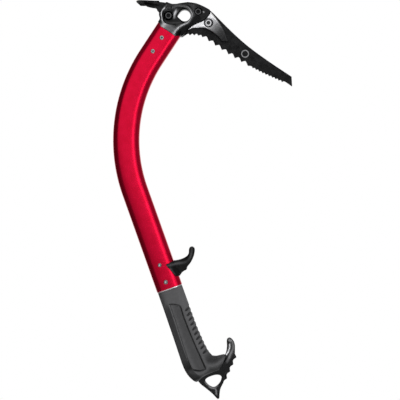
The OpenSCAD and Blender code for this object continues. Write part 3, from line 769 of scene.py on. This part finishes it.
def core_tone(x, y, z):
    """Black forging with painted highlights on the hook's groove and flank, the spike's ridge and round
    the spike's hole.
    """
    face = ramp(np.abs(y), 1.5, 2.5)
    # Painted highlights: a line in the hook's groove, its outer flank, the spike's ridge and the hole's
    # low wall
    streak = bell(path_distance(x, z, HOOK_HIGHLIGHT_LINE), 0.9)
    flank = np.interp(z, *FLANK_HIGHLIGHT) * bell(path_distance(x, z, HOOK_FLANK), 1.6)
    ridge = 0.25 * bell(path_distance(x, z, SPIKE_RIDGE), 0.9)
    wall = 0.28 * bell(path_distance(x, z, HOLE_WALL), 1.0)
    return CORE_TONE + np.maximum(wall, face * np.maximum.reduce([streak, flank, ridge]))


def make_core(finishes):
    """Forged pommel: hook, serrations and a spike with ground edges."""
    core = Solid("handle_core", step=0.44, edge=0.6, corner=0.7)
    u = in_low_frame(core.x, core.z)[1]
    inside = core.slice_at(0)
    # The spike thins towards its point and has ground edges, apart from the edge of its hole
    half = np.interp(u, *SPIKE_HALF)
    bevel = half - 0.6 * np.clip(2.6 + inside, 0, 2.6) * ramp(core.near(SPIKE_HOLE), 2.2, 3.6)
    core.cut(bevel - core.side + 8 * ramp(u, -124, -116), 0.5)
    # The hook is filled out to its full width, and a round groove runs along each side
    groove = core.near(HOOK_GROOVE)
    core.add(np.maximum(np.maximum(inside + 0.8, groove - 5), core.side - 4.9), 0.8)
    core.cut(np.hypot(groove, core.side - 7.6) - 3.5, 0.6)
    core.piece("pommel_forging", finishes["core"], "core_alloy", core_tone)


# Grip: panel's edge, rounded ridges on the heel, and the lip of the rubber on the metal
PANEL_EDGE = handle_path(
    (-6.6, -17.6), (-0.8, -19.6), (4, -22.6), (5.3, -27), (4.8, -40), (6, -70), (8.8, -105), (7.4, -109),
    (1.6, -108.8), (-5.4, -105.2),
)
HEEL_RIDGE = smooth_curve([
    (22.1, -428.3), (26, -437), (30.5, -439), (35.5, -439), (40.6, -437.4), (44.4, -434.8), (47.5, -432.9),
    (49.6, -430.4),
])
HEEL_BRANCH = smooth_curve([(8, -447.5), (18.5, -449), (25, -446), (30.5, -439)])
RUBBER_LIP = smooth_curve([
    (10, -462), (14.7, -460), (17.9, -458.8), (20.4, -456.2), (23.6, -453.5), (28, -451.2), (31.8, -450),
    (36.8, -448.7), (43.1, -446.2), (46, -444.7),
])
GRIP_HALF = 12.4
# Grip's tones: the rubber, the painted shade in the heel's hollows, and the panel
RUBBER_TONE = 0.106
HEEL_SHADE_TONE = 0.032
PANEL_TONE = 0.076


def rib_front(u):
    """How far the grip's front stands from the shaft's axis at a height."""
    return SHAFT_DEPTH / 2 + np.interp(u, [-92, -80, -58, -26], [4, 2.2, 0.5, 0.1])


def rib_slots(v, u):
    """Distance in the tool's plane to the middle lines of the slots between the ribs."""
    slots = []
    for rib in range(RIB_COUNT):
        height = RIB_START - rib * RIB_PITCH
        front = rib_front(height)
        slots.append(segment_distance(v, u, (front + 1, height), (front - RIB_REACH, height + RIB_RISE)))
    return np.minimum.reduce(slots)


def back_crease(u):
    """Where the grip's flat side turns into its back, at a height."""
    return np.interp(u, [-116, -108, -103, -90, -70, -40, -18], [1, -4.5, -6.6, -7.6, -8, -7.6, -7])


def heel_share(u):
    """0 on the straight handle, 1 on its heel."""
    return ramp(-u, 86, 100)


def heel_distance(x, z):
    return np.minimum(path_distance(x, z, HEEL_RIDGE), path_distance(x, z, HEEL_BRANCH))


def lip_distance(x, z):
    """How far points lie above the rubber's lip on the metal."""
    return 0.8 * (z - np.interp(x, *RUBBER_LIP.T))


def groove_shade(x, z):
    """1 away from the panel's edge, with painted shade in the groove along it."""
    return 1 - 0.62 * bell(path_distance(x, z, PANEL_EDGE), 0.9)


def grip_tone(x, y, z):
    """Grey rubber with painted shade in its grooves, between its ribs, on its back and heel, and painted
    highlights on crease and lip.
    """
    v, u = in_low_frame(x, z)
    # Painted highlight along the back crease near the top
    crease = 0.08 * bell(v - back_crease(u), 1.5) * (1 - ramp(u, -24, -16))
    # Painted shade in the heel's hollows, away from its ridges
    heel = HEEL_SHADE_TONE + 0.072 * bell(heel_distance(x, z), 3.0)
    tone = shifted(RUBBER_TONE, heel_share(u), heel)
    # Painted shade in the groove at the panel's edge
    tone *= groove_shade(x, z) * (1 + crease)
    # Painted highlight along the lip on the metal
    lip = np.interp(x, [15, 22, 28, 40], [0.16, 0.1, 0.07, 0.1])
    tone += lip * bell(lip_distance(x, z) - 0.7, 0.7)
    # Painted shade on the back band near the top
    tone *= 1 - 0.35 * ramp(back_crease(u) - v, 0.5, 1.5) * (1 - ramp(u, -30, -14))
    # Painted shade between the ribs, deeper towards the back
    depth = np.interp(rib_front(u) - v, [0, 3, 6.5], [0.35, 0.55, 0.66])
    return tone * (1 - depth * ramp(1.5 - rib_slots(v, u), 0, 0.8))


def panel_tone(x, y, z):
    """Dark rubber with painted shade in the groove at its edge, a little lighter along the panel's back
    edge.
    """
    v, u = in_low_frame(x, z)
    return PANEL_TONE * groove_shade(x, z) * (1 + 0.38 * bell(v - back_crease(u) - 2, 2.6))


def make_grip(finishes):
    """Rubber handle with ribs on the front and flat-sided back edges."""
    grip = Solid("grip", step=0.48, edge=0.9, corner=0.5)
    v, u = in_low_frame(grip.x, grip.z)
    # The sides turn in towards the back, below the shaft's end
    facet = GRIP_HALF - 0.85 * np.clip(back_crease(u) - v, 0, None)
    grip.cut(facet - grip.side + 9 * ramp(u, -22, -4), 0.7)
    # The heel is hollowed between its ridges and ends at the lip on the metal
    hollow = 0.28 * np.clip(heel_distance(grip.x, grip.z) - 2, 0, 5)
    grip.values = grip.values + hollow * heel_share(u) * ramp(grip.side, 4, 8)
    grip.cut(lip_distance(grip.x, grip.z) + 0.6, 0.7)
    # Slots part the ribs, and a spine behind them joins them in the middle
    grip.groove(rib_slots(v, u) - 0.7, 0.9)
    spine = np.maximum(v - rib_front(u) + 0.7, rib_front(u) - 9 - v)
    rows = np.maximum(u - RIB_START - 4, RIB_START - RIB_COUNT * RIB_PITCH - u)
    grip.add(np.maximum(np.maximum(spine, rows), grip.side - 5.5), 0.8)
    grip.groove(grip.near(PANEL_EDGE) - 0.7, 0.8)
    grip.piece("grip_rubber", finishes["grip"], "grip_rubber", grip_tone)


def make_panel(node, finishes):
    """An inlaid side panel, drawn in all round and cut back along the groove at its edge."""
    panel = Solid(node, step=0.42, edge=0.5, corner=0)
    panel.values = panel.values + 0.3
    panel.cut(panel.near(PANEL_EDGE) - 0.8, 0.5)
    name = node.replace("grip_panel", "side_panel")
    panel.piece(name, finishes["panel"], "panel_rubber", panel_tone)


def make_rivet(node, finishes, bore_painted_light, rim_tone_and_shade, sides=48):
    """A tubular rivet with rolled rims, turned from its profile."""
    low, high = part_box(node)
    reach = high.y / MM
    skirt = 0.84 * (high.x - low.x) / MM / 2
    centre = middle(node)
    bore = 1.05
    # Half of the profile, as (radius, y) from the bore over the rolled rim to the shank
    rim = [
        (0.9, reach - 0.45), (bore, reach - 0.4), (1.3, reach - 0.12), (1.65, reach), (2, reach - 0.1),
        (0.9 * skirt, reach - 0.35), (skirt, reach - 0.6), (skirt, reach - 0.9),
        (0.7 * skirt, reach - 1.0),
    ]
    profile = rim + [(r, -y) for r, y in reversed(rim)]
    turn = 2 * np.pi * np.arange(sides) / sides
    rings = [np.column_stack([r * np.cos(turn), np.full(sides, y), r * np.sin(turn)]) for r, y in profile]
    points = np.vstack(rings) + (centre[0], 0, centre[1])
    faces = tube_faces(len(profile), sides)[:-sides]
    faces.append(tuple(range(sides))[::-1])
    faces.append(tuple(range(len(points) - sides, len(points))))

    # The bore takes the painted light given, the rim its tone or painted shade
    def tone(x, y, z):
        return np.where(np.hypot(x - centre[0], z - centre[1]) < bore + 0.01, bore_painted_light, rim_tone_and_shade)

    dressed(node + "_turned", points, faces, finishes["rivet"], "tool", node, tone)


def dress_node(node, material, bevel):
    """Gives a CAD node its finish and softens its edges."""
    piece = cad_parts[node]
    piece.data.materials.clear()
    piece.data.materials.append(material)
    weld = piece.modifiers.new("weld", "WELD")
    weld.merge_threshold = 0.002 * MM
    soft = piece.modifiers.new("soft_edges", "BEVEL")
    soft.width = bevel * MM
    soft.segments = 3
    soft.limit_method = "ANGLE"
    soft.angle_limit = math.radians(35)
    soft.harden_normals = True


def dress_nodes(finishes):
    """The CAD nodes that stay, with their finish and edge rounding in millimetres."""
    plan = (
        (("pick",), "pick", 0.35),
        (("adze",), "adze", 0.2),
        (("pick_bolt", "adze_bolt"), "bolt", 0.25),
        (("weight_screw",), "screw", 0.25),
        (("pick_nut", "adze_nut", "weight_nut"), "nut", 0.25),
    )
    for nodes, finish, bevel in plan:
        for node in nodes:
            dress_node(node, finishes[finish], bevel)


# Studio


def make_camera():
    data = bpy.data.cameras.new("camera")
    data.sensor_width = SENSOR
    data.lens = SENSOR * CAMERA_DISTANCE / VIEW_WIDTH
    camera = bpy.data.objects.new("camera", data)
    camera.location = (VIEW_CENTRE[0], -CAMERA_DISTANCE, VIEW_CENTRE[1])
    camera.rotation_euler = (math.radians(90), 0, 0)
    bpy.context.scene.collection.objects.link(camera)
    bpy.context.scene.camera = camera


def make_lamp(name, place, size, power):
    """A soft rectangular lamp aimed at the tool's middle, not seen in mirrors."""
    data = bpy.data.lights.new(name, "AREA")
    data.shape = "RECTANGLE"
    data.size, data.size_y = size
    data.energy = power
    lamp = bpy.data.objects.new(name, data)
    lamp.location = place
    aim = Vector((VIEW_CENTRE[0], 0, VIEW_CENTRE[1])) - lamp.location
    lamp.rotation_euler = aim.to_track_quat("-Z", "Y").to_euler()
    lamp.visible_camera = False
    lamp.visible_glossy = False
    bpy.context.scene.collection.objects.link(lamp)


def studio_light(nodes):
    """What mirrors see: a white backdrop, a front soft box, a light above, a strip and dim sides."""
    place = nodes.add("ShaderNodeTexCoord").outputs["Generated"]
    axis = nodes.add("ShaderNodeSeparateXYZ", Vector=place).outputs

    def cone(direction, low, high, level):
        """A soft-edged round patch of light in a direction; low and high are cosines."""
        toward = nodes.vector_math("DOT_PRODUCT", place, Vector(direction).normalized())
        return nodes.range(toward, low, high, 0, level, smooth=True)

    right, up = axis["X"], axis["Z"]
    # The soft box in front is brighter above and to the right
    level = nodes.math("MULTIPLY_ADD", up, 5.0, nodes.math("MULTIPLY_ADD", right, 0.5, 0.78))
    level = nodes.math("MAXIMUM", nodes.math("MINIMUM", level, 1.0), 0.45)
    front = nodes.math("MULTIPLY", cone((0.05, -1, 0.05), 0.70, 0.84, 1.0), level)
    # The strip is upright, narrow and bright, in front and to the right
    ahead = nodes.range(axis["Y"], -0.3, -0.1, 1, 0)
    off_strip = nodes.math("ABSOLUTE", nodes.math("SUBTRACT", right, 0.34))
    strip = nodes.math("MULTIPLY", ahead, nodes.range(off_strip, 0.02, 0.07, 3.6, 0, smooth=True))
    backdrop = cone((0, 1, 0), 0.72, 0.82, 1.0)
    above = cone((0, -0.2, 1), 0.5, 0.95, 0.7)
    light = nodes.math("MULTIPLY_ADD", right, 0.12, 0.22)
    for source in (backdrop, front, above, strip):
        light = nodes.math("MAXIMUM", light, source)
    return light


def make_world():
    """White for the camera, a studio for mirrors and an even dim light for the rest."""
    world = bpy.data.worlds.new("studio")
    bpy.context.scene.world = world
    world.use_nodes = True
    nodes = Nodes(world.node_tree)
    studio = studio_light(nodes)
    camera, mirror = nodes.rays()
    ambient = 0.2
    seen = nodes.math("MULTIPLY_ADD", mirror, nodes.math("SUBTRACT", studio, ambient), ambient)
    white = nodes.math("MULTIPLY_ADD", camera, nodes.math("SUBTRACT", 1.0, seen), seen)
    background = world.node_tree.nodes["Background"]
    background.inputs["Color"].default_value = (1, 1, 1, 1)
    nodes.link(white, background.inputs["Strength"])


def floor_material(radius, height):
    """Pale matt that fades to white towards the rim, and is clear from below."""
    material = bpy.data.materials.new("pale_floor")
    material.use_nodes = True
    nodes = Nodes(material.node_tree)
    nodes.tree.nodes.remove(nodes.tree.nodes["Principled BSDF"])
    matt = nodes.add("ShaderNodeBsdfDiffuse", Color=(0.86, 0.86, 0.86, 1)).outputs["BSDF"]
    glow = nodes.add("ShaderNodeEmission").outputs["Emission"]
    place = nodes.add("ShaderNodeTexCoord").outputs["Object"]
    away = nodes.vector_math("DISTANCE", place, (0, 0, height))
    fade = nodes.range(away, 0.3 * radius, 0.95 * radius, 0.35, 1)
    camera, mirror = nodes.rays()
    seen = nodes.math("MAXIMUM", camera, mirror)
    top = nodes.blend(nodes.math("MULTIPLY", seen, fade), matt, glow)
    below = nodes.add("ShaderNodeNewGeometry").outputs["Backfacing"]
    clear = nodes.add("ShaderNodeBsdfTransparent").outputs["BSDF"]
    surface = nodes.blend(below, top, clear)
    nodes.link(surface, nodes.tree.nodes["Material Output"].inputs["Surface"])
    return material


def make_floor():
    """A round floor, below the tool, that keeps its shadow."""
    radius, height, sides = 0.65, -0.72, 96
    turn = 2 * np.pi * np.arange(sides) / sides
    rim = np.column_stack([radius * np.cos(turn), radius * np.sin(turn), np.full(sides, height)])
    mesh = bpy.data.meshes.new("floor")
    mesh.from_pydata(rim.tolist(), [], [tuple(range(sides))])
    floor = bpy.data.objects.new("floor", mesh)
    bpy.context.scene.collection.objects.link(floor)
    mesh.materials.append(floor_material(radius, height))


def make_studio():
    bpy.context.scene.view_settings.view_transform = "Standard"
    make_camera()
    make_world()
    make_floor()
    make_lamp("key", place=(1.0, -1.75, 0.5), size=(1.0, 1.0), power=36)
    make_lamp("back", place=(0.3, 1.6, 0.8), size=(1.2, 1.0), power=12)


finishes = make_finishes()
make_studio()
make_shaft(finishes)
make_head(finishes)
for weight in ("weight_left", "weight_right"):
    make_weight(weight, finishes)
make_trigger(finishes)
make_core(finishes)
make_grip(finishes)
for panel in ("grip_panel_left", "grip_panel_right"):
    make_panel(panel, finishes)
# Head rivets: painted shade in the bore
for rivet in ("head_rivet_upper", "head_rivet_lower"):
    make_rivet(rivet, finishes, bore_painted_light=0.12, rim_tone_and_shade=0.48)
# Lower rivets: painted highlight in the bore, painted shade on the rim
for rivet in ("trigger_pin", "handle_rivet"):
    make_rivet(rivet, finishes, bore_painted_light=0.6, rim_tone_and_shade=0.24)
dress_nodes(finishes)
